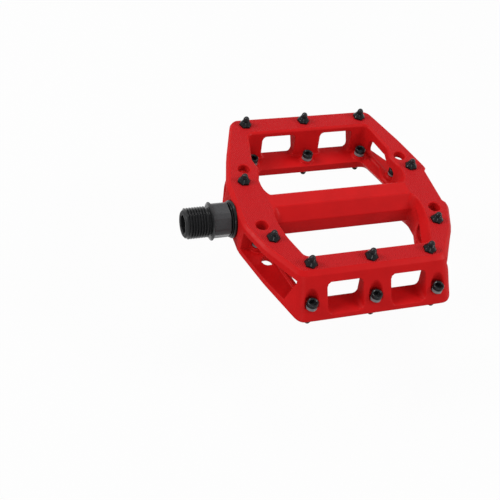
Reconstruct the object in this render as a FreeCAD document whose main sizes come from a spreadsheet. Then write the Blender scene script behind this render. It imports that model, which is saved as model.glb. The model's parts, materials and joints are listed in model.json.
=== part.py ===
"""Flat bicycle pedal, right-hand side: a moulded two-sided platform on a steel spindle.

The row frame has +X outboard along the spindle, +Y forward and +Z up. Its origin lies on the
spindle's axis in the shoulder that seats on the crank arm. The platform is the same after half
a turn about the spindle, so its leading and trailing halves are one set of features and its
half-turn copy, and both faces carry the same studs.
"""
import FreeCAD, Part
import math
import os
import re
import Sketcher
from FreeCAD import Placement, Rotation, Vector

doc = FreeCAD.newDocument("FlatPedal")

# ---------------------------------------------------------------------------------------------
# Driving dimensions, in millimetres. Platform stations are measured from the platform's centre,
# spindle stations from the crank shoulder.
# ---------------------------------------------------------------------------------------------
DIMENSIONS = {
    # platform, overall
    "crank_offset": (63.2, "crank shoulder to the platform's centre plane"),
    "half_height": (9.27, "spindle axis to either face of the platform"),
    "bar_face": (51.5, "axis to a bar's outer face at mid-height"),
    "lean": (6.75, "shift of a bar between mid-height and a face"),
    "lead_corner": (37.5, "half width at the leading corners of the top face"),
    "trail_corner": (34.9, "half width at the trailing corners of the top face"),
    "lead_knee_x": (46.0, "knee of the leading side: half width"),
    "lead_knee_back": (17.5, "knee of the leading side: distance behind the bar's outer face"),
    "trail_knee_x": (46.5, "knee of the trailing side: half width"),
    "trail_knee_back": (24.2, "knee of the trailing side: distance inside the bar's outer face"),
    "side_face": (51.8, "centre plane to the flat of a side plate"),
    "side_flat": (13.5, "half length of that flat"),
    "corner_round": (6.0, "radius of the platform's four corners"),
    "rim_chamfer": (1.5, "chamfer round both faces"),
    "boss_face": (49.4, "centre plane to the outboard boss face"),
    "boss_half": (10.4, "half length of the boss face"),
    "boss_ramp": (0.4, "overrun of the boss's ramps past the side face"),
    # foot openings and flanges
    "opening_shift": (0.9, "middle of the openings and windows, outboard of the centre plane"),
    "lip_back": (5.0, "bar's outer face to the leading opening's edge in the top face"),
    "web_foot_back": (7.9, "bar's outer face to the leading web's foot on the ledge"),
    "ledge": (5.0, "height of the ledge, from the axis"),
    "ledge_lip_back": (16.3, "bar's outer face to the ledge's free edge"),
    "well_corner": (31.8, "opening's half width at the leading bar"),
    "well_bulge": (34.0, "opening's half width beside the side stud's sleeve"),
    "well_waist": (36.6, "opening's half width beside the barrel"),
    "well_turn_back": (22.7, "bar's outer face to where the opening starts to narrow"),
    "sleeve_back": (0.6, "inside of the side stud's sleeve, short of the stud"),
    "flange_corner": (31.0, "opening's half width in the face, at the flange's corner"),
    "flange_side": (35.4, "opening's half width in the face, beside the stud sleeves"),
    "flange_slope": (3.8, "run of the flange's sloping edge below the side plates"),
    "well_round": (3.0, "corner radius of the openings"),
    "inner_chamfer": (0.8, "chamfer on the openings' edges"),
    "overlap": (0.5, "overlap between cuts that run into each other"),
    # barrel
    "barrel_half": (39.0, "half length of the barrel, ends inside the side plates"),
    "barrel_flat": (3.84, "half width of the barrel's eight flats"),
    "flare_round": (4.5, "radius of the flare between the barrel and a side plate"),
    # bar windows
    "window_place": (15.35, "middle of the openings to a window's middle"),
    "window_width": (17.4, "window width"),
    "window_top": (6.6, "ceiling of a leading window"),
    "window_round": (2.4, "window corner radius"),
    # side slots
    "slot_near": (14.2, "axis to a slot's inner end"),
    "slot_far_back": (5.9, "bar's outer face to a slot's outer end"),
    "mouth_near": (16.5, "axis to the inner end of the slot's inner mouth"),
    "mouth_far_back": (10.5, "bar's outer face to that mouth's outer end"),
    "slot_half": (4.2, "half height of that mouth"),
    "slot_round": (2.6, "corner radius of the slot"),
    "relief_half": (5.4, "half height of the slot outside its lip"),
    "lip_wall": (2.4, "thickness of the lip round the inner mouth"),
    # traction studs
    "stud_radius": (1.5, "stud shank"),
    "stud_clearance": (0.05, "gap round a stud in its hole"),
    "stud_reach": (4.8, "stud tip above the face, on the bars"),
    "stud_seat": (3.8, "height of the seats under the bar studs' heads"),
    "boss_wall": (0.75, "how far the seats' bosses stand out round a stud's head"),
    "head_radius": (2.6, "stud head"),
    "head_height": (3.7, "stud head"),
    "stud_key": (3.0, "across the flats of the stud's hex socket"),
    "side_seat": (3.35, "height of the seats under the side studs' heads"),
    "nut_flats": (5.5, "across the flats of a stud nut"),
    "nut_height": (2.6, "stud nut"),
    "nut_crown": (1.75, "radius of the flat on top of a stud nut"),
    "nut_shoulder": (0.5, "foot of the nut's cone, outside the hexagon's corners"),
    "head_clearance": (0.25, "gap round a side stud's head in its driver access hole"),
    "scallop_clearance": (0.6, "gap between a stud's head and the scallop beside it"),
    "scallop_back": (1.05, "scallop's arc centre inboard of the stud"),
    "outer_row_ahead": (1.56, "bar's outer face to the studs by its acute edge"),
    "inner_row_back": (11.94, "bar's outer face to the studs by its obtuse edge"),
    "outer_pitch": (30.7, "middle stud to the end studs, outer row"),
    "inner_pitch": (29.0, "middle stud to the end studs, inner row"),
    "fore_side_x": (43.3, "leading side studs from the centre plane"),
    "fore_side_y": (14.1, "leading side studs ahead of the axis"),
    "aft_side_x": (40.7, "trailing side studs from the centre plane"),
    "aft_side_y": (22.4, "trailing side studs behind the axis"),
    # spindle, from the crank shoulder
    "thread_radius": (7.144, "major radius of the 9/16 inch crank thread"),
    "thread_length": (12.0, "crank thread, shoulder to tip"),
    "thread_chamfer": (1.1, "lead-in at the thread's end"),
    "rim_radius": (8.85, "thin rim behind the shoulder"),
    "rim_width": (1.3, "rim, both flanks"),
    "shoulder_radius": (7.7, "flat of the shoulder"),
    "wrench_flats": (15.0, "across the wrench flats"),
    "wrench_radius": (8.05, "turned corners of the wrench section"),
    "wrench_end": (8.9, "end of the wrench section"),
    "spindle_key": (8.0, "across the flats of the spindle's hex socket"),
    "spindle_key_depth": (9.0, "depth of that socket"),
    "journal_radius": (6.0, "bushing journal"),
    "journal_end": (28.0, "end of the bushing journal"),
    "taper_end": (82.0, "end of the taper"),
    "taper_radius": (4.7, "small end of the taper"),
    "collar_radius": (4.85, "collar that the bearing seats on"),
    "collar_width": (3.2, "that collar"),
    "bearing_bore": (4.0, "half of the bearing's 8 mm bore"),
    "tail_radius": (3.0, "M6 thread for the lock nut"),
    "tail_gap": (0.5, "spindle's M6 thread to the floor of the cap"),
    # bore of the platform and what fits it
    "seal_bore": (7.7, "counterbore for the axle seal"),
    "seal_depth": (1.5, "that counterbore"),
    "seal_flange": (8.8, "radius of the seal's outer lip"),
    "seal_width": (2.2, "seal outside the platform"),
    "seal_bevel": (0.8, "bevel of the seal's outer lip"),
    "seal_edge": (0.4, "edge of the lip against the platform"),
    "seal_gap": (0.15, "seal to journal"),
    "bushing_radius": (7.0, "bushing, outside"),
    "bushing_length": (14.0, "bushing"),
    "barrel_bore": (6.3, "bore between bushing and bearing"),
    "bearing_radius": (7.0, "half of the bearing's 14 mm outside"),
    "bearing_width": (4.0, "bearing"),
    "bearing_place": (36.9, "platform's centre to the bearing's inboard face"),
    "race_wall": (0.85, "wall of a bearing race"),
    "ball_radius": (0.76, "bearing ball"),
    "ball_gap": (0.04, "ball to groove, and ball to cage"),
    "ball_count": (13, "balls in the bearing"),
    "cage_wall": (0.5, "cage ring, radial"),
    "cage_width": (2.3, "cage ring, along the spindle"),
    "shield_inset": (0.2, "shields inside the bearing's faces"),
    "shield_wall": (0.3, "bearing shield"),
    "shield_gap": (0.1, "shield to the inner race"),
    "running_gap": (0.03, "running clearance of the journal"),
    "seat_gap": (0.01, "assembly clearance of what is pressed or screwed in"),
    "washer_radius": (4.6, "washer under the lock nut"),
    "washer_wall": (0.6, "that washer"),
    "lock_flats": (10.0, "across the flats of the lock nut"),
    "lock_height": (4.0, "lock nut"),
    "cap_bore": (7.5, "tapped bore for the end cap"),
    "cap_head_bore": (8.3, "counterbore for the cap's head"),
    "cap_head_depth": (2.8, "that counterbore"),
    "cap_head": (1.7, "thickness of the cap's head"),
    "cap_edge": (0.3, "chamfer round the cap's face"),
    "cap_cup": (6.1, "inside of the cap's skirt"),
    "cap_floor": (2.8, "cap, from its face to the inside of the cup"),
    "cap_key": (6.0, "across the flats of the cap's hex socket"),
    "cap_key_rim": (0.4, "flat left round that socket's corners"),
    "cap_dish": (5.9, "mouth radius of the cap's dished face"),
    "cap_dish_depth": (0.9, "that dish"),
    "cap_key_depth": (1.0, "hex socket below the dish"),
    "ring_wire": (0.41, "radius of the O-ring's wire"),
}

sheet = doc.addObject("Spreadsheet::Sheet", "Dimensions")
for row, (alias, (number, meaning)) in enumerate(DIMENSIONS.items(), start=1):
    sheet.set("A%d" % row, alias)
    sheet.set("B%d" % row, str(number))
    sheet.set("C%d" % row, meaning)
    sheet.setAlias("B%d" % row, alias)
doc.recompute()

# Sizes that follow the ones above, so that they move together when one of those is changed.
FOLLOWING = {
    "lead_knee_y": "bar_face - lead_knee_back",
    "trail_knee_y": "bar_face - trail_knee_back",
    "lip": "bar_face - lip_back",
    "web_foot": "bar_face - web_foot_back",
    "ledge_lip": "bar_face - ledge_lip_back",
    "well_turn": "bar_face - well_turn_back",
    "slot_far": "bar_face - slot_far_back",
    "mouth_far": "bar_face - mouth_far_back",
    "outer_row": "bar_face + outer_row_ahead",
    "inner_row": "bar_face - inner_row_back",
    "stud_hole": "stud_radius + stud_clearance",
    "stud_boss": "head_radius + boss_wall",
    "access_radius": "head_radius + head_clearance",
    "scallop": "head_radius + scallop_clearance",
    "tail_length": "boss_face - cap_floor - tail_gap - bearing_place - bearing_width",
}


def bound(formula):
    """Turn the names in a formula into references to the sheet."""
    followed = re.sub(r"[a-z_]+", lambda word: "(%s)" % FOLLOWING[word[0]] if word[0] in FOLLOWING
                      else word[0], formula)
    return re.sub(r"[a-z_]+", lambda word: "Dimensions." + word[0] if word[0] in DIMENSIONS else word[0],
                  followed)


def value(formula):
    """Present value of a formula, as a plain number."""
    result = sheet.evalExpression(bound(formula))
    return float(getattr(result, "Value", result))


def bind(target, **formulas):
    """Bind properties to formulas; a double underscore stands for a dot."""
    for name, formula in formulas.items():
        target.setExpression(name.replace("__", "."), bound(formula))


# ---------------------------------------------------------------------------------------------
# Sketches and features
# ---------------------------------------------------------------------------------------------
def new_body(name, place_x="0"):
    """An empty body whose own frame lies place_x along the spindle from the row's origin."""
    body = doc.addObject("PartDesign::Body", name)
    body.Label = name
    bind(body, Placement__Base__x=place_x)
    return body


def plane(body, role):
    """One of the body's origin planes or axes."""
    return next(item for item in body.Origin.OriginFeatures if item.Role == role)


def new_sketch(body, name, role="XY_Plane", offset="0"):
    """An empty sketch on an origin plane, moved along the plane's normal."""
    sketch = body.newObject("Sketcher::SketchObject", name)
    sketch.AttachmentSupport = [(plane(body, role), "")]
    sketch.MapMode = "FlatFace"
    bind(sketch, AttachmentOffset__Base__z=offset)
    return sketch


def fix_point(sketch, index, point, across, up):
    """Hold one point of a sketch at two formulas, measured from the sketch's origin."""
    for kind, formula in (("DistanceX", across), ("DistanceY", up)):
        place = sketch.addConstraint(Sketcher.Constraint(kind, -1, 1, index, point, value(formula)))
        sketch.setExpression("Constraints[%d]" % place, bound(formula))


def add_loop(sketch, corners):
    """A closed run of straight lines through corners, each a pair of formulas."""
    points = [Vector(value(across), value(up), 0) for across, up in corners]
    first = sketch.GeometryCount
    count = len(points)
    for i in range(count):
        sketch.addGeometry(Part.LineSegment(points[i], points[(i + 1) % count]), False)
    for i in range(count):
        follower = first + (i + 1) % count
        sketch.addConstraint(Sketcher.Constraint("Coincident", first + i, 2, follower, 1))
    for i in range(count):
        fix_point(sketch, first + i, 1, *corners[i])


def add_circle(sketch, across, up, radius):
    """A full circle, its centre and radius given by formulas."""
    centre = Vector(value(across), value(up), 0)
    index = sketch.addGeometry(Part.Circle(centre, Vector(0, 0, 1), value(radius)), False)
    fix_point(sketch, index, 3, across, up)
    place = sketch.addConstraint(Sketcher.Constraint("Radius", index, value(radius)))
    sketch.setExpression("Constraints[%d]" % place, bound(radius))


def both_sides(half):
    """A loop that is the same left and right, from its right-hand corners, front to back."""
    return half + [("-(%s)" % across, up) for across, up in reversed(half)]


def about_openings(corners):
    """Move corners from the centre plane to the middle of the foot openings."""
    return [("opening_shift + (%s)" % across, up) for across, up in corners]


def box_corners(left, right, low, high):
    return [(left, low), (right, low), (right, high), (left, high)]


def add_round_box(sketch, left, right, low, high, radius):
    """A rectangle with four equal round corners."""
    x0, x1, y0, y1, r = (value(item) for item in (left, right, low, high, radius))
    first = sketch.GeometryCount
    runs = [((x0 + r, y0), (x1 - r, y0)), ((x1, y0 + r), (x1, y1 - r)),
            ((x1 - r, y1), (x0 + r, y1)), ((x0, y1 - r), (x0, y0 + r))]
    centres = [(x1 - r, y0 + r), (x1 - r, y1 - r), (x0 + r, y1 - r), (x0 + r, y0 + r)]
    for i, (start, end) in enumerate(runs):
        sketch.addGeometry(Part.LineSegment(Vector(*start, 0), Vector(*end, 0)), False)
        circle = Part.Circle(Vector(*centres[i], 0), Vector(0, 0, 1), r)
        sketch.addGeometry(Part.ArcOfCircle(circle, (i - 1) * math.pi / 2, i * math.pi / 2), False)
    for i in range(0, 8, 2):
        line, arc, following = first + i, first + i + 1, first + (i + 2) % 8
        sketch.addConstraint(Sketcher.Constraint("Tangent", line, 2, arc, 1))
        sketch.addConstraint(Sketcher.Constraint("Tangent", arc, 2, following, 1))
        sketch.addConstraint(Sketcher.Constraint("Vertical" if i % 4 else "Horizontal", line))
    for offset, kind, formula in ((0, "DistanceY", low), (2, "DistanceX", right),
                                  (4, "DistanceY", high), (6, "DistanceX", left)):
        place = sketch.addConstraint(Sketcher.Constraint(kind, -1, 1, first + offset, 1, value(formula)))
        sketch.setExpression("Constraints[%d]" % place, bound(formula))
    place = sketch.addConstraint(Sketcher.Constraint("Radius", first + 1, r))
    sketch.setExpression("Constraints[%d]" % place, bound(radius))
    for i in (3, 5, 7):
        sketch.addConstraint(Sketcher.Constraint("Equal", first + 1, first + i))


def add_arch(sketch, across, centre_up, half_width, mouth_up):
    """A U-shaped loop: a half circle about its centre, with straight legs up to its mouth."""
    x, y, radius, mouth = (value(item) for item in (across, centre_up, half_width, mouth_up))
    first = sketch.GeometryCount
    sketch.addGeometry(Part.ArcOfCircle(Part.Circle(Vector(x, y, 0), Vector(0, 0, 1), radius), math.pi, 0),
                       False)
    corners = [Vector(x + radius, y, 0), Vector(x + radius, mouth, 0),
               Vector(x - radius, mouth, 0), Vector(x - radius, y, 0)]
    for start, end in zip(corners, corners[1:]):
        sketch.addGeometry(Part.LineSegment(start, end), False)
    fix_point(sketch, first, 3, across, centre_up)
    fix_point(sketch, first + 1, 2, "%s + %s" % (across, half_width), mouth_up)
    fix_point(sketch, first + 2, 2, "%s - %s" % (across, half_width), mouth_up)
    sketch.addConstraint(Sketcher.Constraint("Tangent", first, 2, first + 1, 1))
    sketch.addConstraint(Sketcher.Constraint("Coincident", first + 1, 2, first + 2, 1))
    sketch.addConstraint(Sketcher.Constraint("Coincident", first + 2, 2, first + 3, 1))
    sketch.addConstraint(Sketcher.Constraint("Tangent", first + 3, 2, first, 1))


def add_flare(sketch, side):
    """Half section of the fillet between the barrel and one side plate's inner wall."""
    sign = -1 if side else 1
    x0, x1, low, radius = (value(item) for item in ("well_waist - flare_round", "well_waist",
                                                    "half_height", "flare_round"))
    middle_x = value("opening_shift")
    x0, x1, past = middle_x + sign * x0, middle_x + sign * x1, middle_x + sign * (x1 + 1)
    centre = Vector(x0, low + radius, 0)
    first = sketch.GeometryCount
    circle = Part.Circle(centre, Vector(0, 0, 1), radius)
    start = -math.pi / 2 if sign > 0 else math.pi
    sketch.addGeometry(Part.ArcOfCircle(circle, start, start + math.pi / 2), False)
    foot, head = Vector(x0, low, 0), Vector(x1, low + radius, 0)
    corners = [head, Vector(past, low + radius, 0), Vector(past, low - 1, 0), Vector(x0, low - 1, 0), foot]
    for begin, end in zip(corners, corners[1:]):
        sketch.addGeometry(Part.LineSegment(begin, end), False)
    at_head, at_foot = (2, 1) if sign > 0 else (1, 2)
    links = [(0, at_head, 1, 1), (1, 2, 2, 1), (2, 2, 3, 1), (3, 2, 4, 1), (4, 2, 0, at_foot)]
    for one, one_end, other, other_end in links:
        sketch.addConstraint(Sketcher.Constraint("Coincident", first + one, one_end, first + other, other_end))
    for item, point, across, up in (
            (0, 3, "well_waist - flare_round", "half_height + flare_round"),
            (1, 1, "well_waist", "half_height + flare_round"),
            (2, 1, "well_waist + 1", "half_height + flare_round"),
            (3, 1, "well_waist + 1", "half_height - 1"),
            (4, 1, "well_waist - flare_round", "half_height - 1")):
        fix_point(sketch, first + item, point, "opening_shift %s (%s)" % (side or "+", across), up)
    sketch.addConstraint(Sketcher.Constraint("Vertical", first + 4))


def hexagon(flats):
    """Corners of a hexagon with flats above and below its centre."""
    reach = "%s / sqrt(3)" % flats
    half = "%s / 2" % flats
    return [(reach, "0"), (reach + " / 2", half), ("-" + reach + " / 2", half),
            ("-" + reach, "0"), ("-" + reach + " / 2", "-" + half), (reach + " / 2", "-" + half)]


def finish(feature):
    """Recompute after a feature and stop if it failed."""
    doc.recompute()
    if "Invalid" in feature.State or "Error" in feature.State or feature.Shape.isNull():
        raise RuntimeError("%s failed: %s" % (feature.Name, feature.State))
    feature.Visibility = False
    return feature


def extrude(body, kind, name, sketch, length, reverse=False):
    """A Pad or a Pocket of a sketch."""
    feature = body.newObject("PartDesign::" + kind, name)
    feature.Profile = sketch
    feature.Type = "Length"
    feature.Reversed = reverse
    bind(feature, Length=length)
    return finish(feature)


def loft(body, kind, name, first, second):
    """An AdditiveLoft or SubtractiveLoft with straight rulings between two sketches."""
    feature = body.newObject("PartDesign::" + kind, name)
    feature.Profile = first
    feature.Sections = [second]
    feature.Ruled = True
    return finish(feature)


def profile(body, name, corners):
    """A sketch of half a lengthwise section; corners are (x, radius)."""
    sketch = new_sketch(body, name + "_profile", "XZ_Plane")
    add_loop(sketch, corners)
    return sketch


def turn(body, kind, name, sketch):
    """A Revolution or a Groove of a profile about the spindle's axis."""
    feature = body.newObject("PartDesign::" + kind, name)
    feature.Profile = sketch
    feature.ReferenceAxis = (sketch, ["H_Axis"])
    feature.Angle = 360
    return finish(feature)


def half_turn(body, name, originals):
    """Repeat features after half a turn about the spindle's axis."""
    pattern = body.newObject("PartDesign::PolarPattern", name)
    pattern.Originals = originals
    pattern.Axis = (plane(body, "X_Axis"), [""])
    pattern.Angle = 360
    pattern.Occurrences = 2
    body.Tip = pattern
    return finish(pattern)


def edge_names(shape, accept):
    return ["Edge%d" % (i + 1) for i, edge in enumerate(shape.Edges) if accept(edge)]


def dress(body, kind, name, accept, **sizes):
    """A Fillet or a Chamfer on the edges of the body's tip that pass a test."""
    base = body.Tip
    feature = body.newObject("PartDesign::" + kind, name)
    feature.Base = (base, edge_names(base.Shape, accept))
    bind(feature, **sizes)
    return finish(feature)


def middle(edge):
    return edge.valueAt((edge.FirstParameter + edge.LastParameter) / 2)


def heading(edge):
    """Unit vector from one end of an edge to the other, or zero for a closed edge."""
    run = edge.Vertexes[-1].Point - edge.Vertexes[0].Point
    return run / run.Length if run.Length > 1e-6 else Vector()


# ---------------------------------------------------------------------------------------------
# Where the studs of the top face stand, as (x, y) formulas from the platform's centre.
# ---------------------------------------------------------------------------------------------
OUTER_STUDS = [("-outer_pitch", "outer_row"), ("0", "outer_row"), ("outer_pitch", "outer_row")]
INNER_STUDS = [("-inner_pitch", "-inner_row"), ("0", "-inner_row"), ("inner_pitch", "-inner_row")]
SIDE_STUDS = [("-fore_side_x", "fore_side_y"), ("fore_side_x", "fore_side_y"),
              ("-aft_side_x", "-aft_side_y"), ("aft_side_x", "-aft_side_y")]


# ---------------------------------------------------------------------------------------------
# Platform
# ---------------------------------------------------------------------------------------------
def build_platform():
    body = new_body("pedal_body", "crank_offset")

    # Blank: ruled between the top outline and the same outline after half a turn.
    top = new_sketch(body, "top_outline", offset="half_height")
    add_loop(top, both_sides([
        ("lead_corner", "bar_face + lean"), ("lead_knee_x", "lead_knee_y"), ("side_face", "side_flat"),
        ("side_face", "-side_flat"), ("trail_knee_x", "-trail_knee_y"), ("trail_corner", "lean - bar_face")]))
    bottom = new_sketch(body, "bottom_outline", offset="-half_height")
    add_loop(bottom, both_sides([
        ("trail_corner", "bar_face - lean"), ("trail_knee_x", "trail_knee_y"), ("side_face", "side_flat"),
        ("side_face", "-side_flat"), ("lead_knee_x", "-lead_knee_y"), ("lead_corner", "-bar_face - lean")]))
    loft(body, "AdditiveLoft", "blank", top, bottom)

    height = value("half_height")
    bar = value("bar_face") - value("lean") - 1

    def is_corner(edge):
        return abs(heading(edge).z) > 0.5 and abs(middle(edge).y) > bar

    def is_rim(edge):
        return all(abs(abs(vertex.Z) - height) < 1e-4 for vertex in edge.Vertexes)

    dress(body, "Fillet", "corner_rounds", is_corner, Radius="corner_round")
    dress(body, "Chamfer", "rim_chamfers", is_rim, Size="rim_chamfer")

    # Flat of the outboard boss, set back between two short ramps.
    notch = new_sketch(body, "boss_outline", offset="-half_height - 1")
    add_loop(notch, [("boss_face", "-boss_half"), ("side_face + boss_ramp", "-side_flat - boss_ramp"),
                     ("side_face + 4", "-side_flat - boss_ramp"), ("side_face + 4", "side_flat + boss_ramp"),
                     ("side_face + boss_ramp", "side_flat + boss_ramp"), ("boss_face", "boss_half")])
    extrude(body, "Pocket", "boss_flat", notch, "2 * half_height + 2", reverse=True)

    # Foot openings. The leading one is deep above its ledge and narrower below it.
    mouth = new_sketch(body, "well_mouth", offset="half_height")
    foot = new_sketch(body, "well_foot", offset="-ledge")
    sides = [("well_waist - 1", "well_turn"), ("well_bulge", "aft_side_y - sleeve_back"),
             ("well_waist", "fore_side_y"), ("well_waist", "0")]
    add_loop(mouth, about_openings(both_sides([("well_corner", "lip")] + sides)))
    add_loop(foot, about_openings(both_sides([("well_corner", "web_foot")] + sides)))
    well = loft(body, "SubtractiveLoft", "well", mouth, foot)

    gap = new_sketch(body, "flange_opening", offset="-half_height")
    edge = new_sketch(body, "flange_edge", offset="overlap - ledge")
    add_loop(gap, about_openings(both_sides([
        ("flange_corner", "ledge_lip"), ("flange_side", "aft_side_y"),
        ("well_waist", "fore_side_y"), ("well_waist", "0")])))
    add_loop(edge, about_openings(both_sides([
        ("flange_corner - flange_slope", "ledge_lip"), ("flange_side - flange_slope", "aft_side_y"),
        ("well_waist - flange_slope / 2", "fore_side_y"), ("well_waist", "0")])))
    through = loft(body, "SubtractiveLoft", "flange_gap", gap, edge)
    half_turn(body, "openings", [well, through])

    lip, waist, shift = value("lip"), value("well_waist"), value("opening_shift")
    corner = value("ledge_lip") - 1

    def is_well_corner(edge):
        place, upright = middle(edge), abs(heading(edge).z)
        return (abs(place.x - shift) < waist - 1 and abs(place.y) < lip
                and (upright > 0.95 or (upright > 0.5 and abs(place.y) > corner)))

    def is_well_rim(edge):
        return (is_rim(edge) and middle(edge).z * middle(edge).y > 0
                and all(abs(vertex.X - shift) < waist + 0.1 and 1 < abs(vertex.Y) < lip + 0.1
                        for vertex in edge.Vertexes))

    dress(body, "Fillet", "well_rounds", is_well_corner, Radius="well_round")
    dress(body, "Chamfer", "well_chamfers", is_well_rim, Size="inner_chamfer")

    # Barrel: an octagon whose flats lie in the two faces.
    barrel = new_sketch(body, "barrel_section", "YZ_Plane", "-barrel_half")
    add_loop(barrel, [
        ("half_height", "-barrel_flat"), ("half_height", "barrel_flat"), ("barrel_flat", "half_height"),
        ("-barrel_flat", "half_height"), ("-half_height", "barrel_flat"), ("-half_height", "-barrel_flat"),
        ("-barrel_flat", "-half_height"), ("barrel_flat", "-half_height")])
    extrude(body, "Pad", "barrel", barrel, "2 * barrel_half")

    # The barrel flares into the side plates, and the flare is trimmed level with both faces.
    flare = new_sketch(body, "flare_profile", "XZ_Plane")
    for side in ("-", ""):
        add_flare(flare, side)
    turn(body, "Revolution", "flares", flare)
    excess = new_sketch(body, "trim_outline", offset="half_height")
    add_loop(excess, box_corners("-side_face", "side_face", "-lip", "lip"))
    trim = extrude(body, "Pocket", "trim", excess, "flare_round + 1", reverse=True)
    half_turn(body, "trims", [trim])

    # Windows through the leading web; their floor runs level into the ledge.
    window = new_sketch(body, "window_outline", "XZ_Plane", "-ledge_lip - 1")
    for side in ("-", ""):
        centre = "opening_shift %s window_place" % (side or "+")
        add_round_box(window, centre + " - window_width / 2", centre + " + window_width / 2",
                      "-ledge", "window_top", "window_round")
    windows = extrude(body, "Pocket", "windows", window, "bar_face + lean - ledge_lip + 1")

    # Side slots: an inner mouth through both side plates, with a deeper relief outside its lip.
    slot = new_sketch(body, "slot_outline", "YZ_Plane", "-side_face - 1")
    add_round_box(slot, "mouth_near", "mouth_far", "-slot_half", "slot_half", "slot_round")
    slots = extrude(body, "Pocket", "slots", slot, "2 * side_face + 2", reverse=True)
    reliefs = []
    for name, side in (("outboard", ""), ("inboard", "-")):
        relief = new_sketch(body, name + "_relief_outline", offset="-relief_half")
        wall = "opening_shift %s (lip_wall + %%s)" % (side or "+")
        add_loop(relief, [
            (wall % "well_waist", "slot_near"), (wall % "well_waist", "aft_side_y"),
            (wall % "well_corner", "slot_far"), (side + "(side_face + 4)", "slot_far"),
            (side + "(side_face + 4)", "slot_near")])
        reliefs.append(extrude(body, "Pocket", name + "_relief", relief, "2 * relief_half", reverse=True))
    half_turn(body, "windows_and_slots", [windows, slots] + reliefs)

    # Seats for the stud heads. Each is drawn for the studs of the top face; the half turn gives
    # the studs of the bottom face theirs.
    bosses = new_sketch(body, "side_boss_outline", offset="side_seat")
    for across, forward in SIDE_STUDS:
        add_circle(bosses, across, forward, "stud_boss")
    side_bosses = extrude(body, "Pad", "side_bosses", bosses, "relief_half + 1 - side_seat")
    bosses = new_sketch(body, "bar_boss_outline", offset="stud_seat")
    for across, forward in INNER_STUDS:
        add_circle(bosses, across, forward, "stud_boss")
    bar_bosses = extrude(body, "Pad", "bar_bosses", bosses, "ledge + 1 - stud_seat")

    # Scallops in the leading bar's outer face, where the outer row's heads stand out of it.
    scallop = new_sketch(body, "scallop_outline", offset="stud_seat")
    for across, forward in OUTER_STUDS:
        add_arch(scallop, across, forward + " - scallop_back", "scallop", "bar_face + lean + 1")
    scallops = extrude(body, "Pocket", "scallops", scallop, "half_height + stud_seat")

    holes = new_sketch(body, "stud_hole_outline", offset="-half_height - 1")
    for across, forward in OUTER_STUDS + INNER_STUDS + SIDE_STUDS:
        add_circle(holes, across, forward, "stud_hole")
    drilled = extrude(body, "Pocket", "stud_holes", holes, "2 * half_height + 2", reverse=True)
    access = new_sketch(body, "access_outline", offset="-half_height - 1")
    for across, forward in SIDE_STUDS:
        add_circle(access, across, forward, "access_radius")
    opened = extrude(body, "Pocket", "access_holes", access, "half_height + 1 + side_seat", reverse=True)
    half_turn(body, "stud_seats", [side_bosses, bar_bosses, scallops, drilled, opened])

    # Stepped bore for the seal, the bushing, the bearing and the end cap.
    turn(body, "Groove", "bore", profile(body, "bore", [
        ("-side_face - 1", "0"), ("-side_face - 1", "seal_bore"), ("seal_depth - side_face", "seal_bore"),
        ("seal_depth - side_face", "bushing_radius"), ("seal_depth + bushing_length - side_face", "bushing_radius"),
        ("seal_depth + bushing_length - side_face", "barrel_bore"), ("bearing_place", "barrel_bore"),
        ("bearing_place", "bearing_radius"), ("bearing_place + bearing_width", "bearing_radius"),
        ("bearing_place + bearing_width", "cap_bore"), ("boss_face - cap_head_depth", "cap_bore"),
        ("boss_face - cap_head_depth", "cap_head_bore"), ("boss_face + 1", "cap_head_bore"),
        ("boss_face + 1", "0")]))
    return body


# ---------------------------------------------------------------------------------------------
# Spindle, and what turns on it
# ---------------------------------------------------------------------------------------------
def build_spindle():
    body = new_body("spindle")
    seat = "crank_offset + bearing_place"
    turn(body, "Revolution", "spindle_blank", profile(body, "spindle", [
        ("-thread_length", "0"), ("-thread_length", "thread_radius - thread_chamfer"),
        ("thread_chamfer - thread_length", "thread_radius"), ("0", "thread_radius"), ("0", "shoulder_radius"),
        ("rim_width / 2", "rim_radius"), ("rim_width", "wrench_radius"), ("wrench_end", "wrench_radius"),
        ("wrench_end", "journal_radius"), ("journal_end", "journal_radius"), ("taper_end", "taper_radius"),
        (seat + " - collar_width", "taper_radius"), (seat + " - collar_width", "collar_radius"),
        (seat, "collar_radius"), (seat, "bearing_bore - seat_gap"),
        (seat + " + bearing_width", "bearing_bore - seat_gap"), (seat + " + bearing_width", "tail_radius"),
        (seat + " + bearing_width + tail_length", "tail_radius"),
        (seat + " + bearing_width + tail_length", "0")]))
    flats = new_sketch(body, "wrench_outline", "YZ_Plane", "rim_width")
    add_circle(flats, "0", "0", "rim_radius + 1")
    add_loop(flats, hexagon("wrench_flats"))
    extrude(body, "Pocket", "wrench_section", flats, "wrench_end - rim_width", reverse=True)
    key = new_sketch(body, "key_outline", "YZ_Plane", "-thread_length - 1")
    add_loop(key, hexagon("spindle_key"))
    extrude(body, "Pocket", "hex_socket", key, "spindle_key_depth + 1", reverse=True)
    return body


def turned_part(name, corners):
    """A body of revolution about the spindle, in the platform's frame; corners are (x, radius)."""
    body = new_body(name, "crank_offset")
    turn(body, "Revolution", name + "_turned", profile(body, name, corners))
    return body


def build_seal():
    """Rubber lip seal: its spigot sits in the platform, its lip hides the end of the bore."""
    return turned_part("axle_seal", [
        ("-side_face - seal_width", "journal_radius + seal_gap"), ("-side_face - seal_width", "seal_flange - seal_bevel"),
        ("-side_face - seal_width + seal_bevel", "seal_flange"), ("-side_face - seal_edge", "seal_flange"),
        ("-side_face", "seal_flange - seal_edge"), ("-side_face", "seal_bore - seat_gap"),
        ("seal_depth - side_face", "seal_bore - seat_gap"),
        ("seal_depth - side_face", "journal_radius + seal_gap")])


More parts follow.
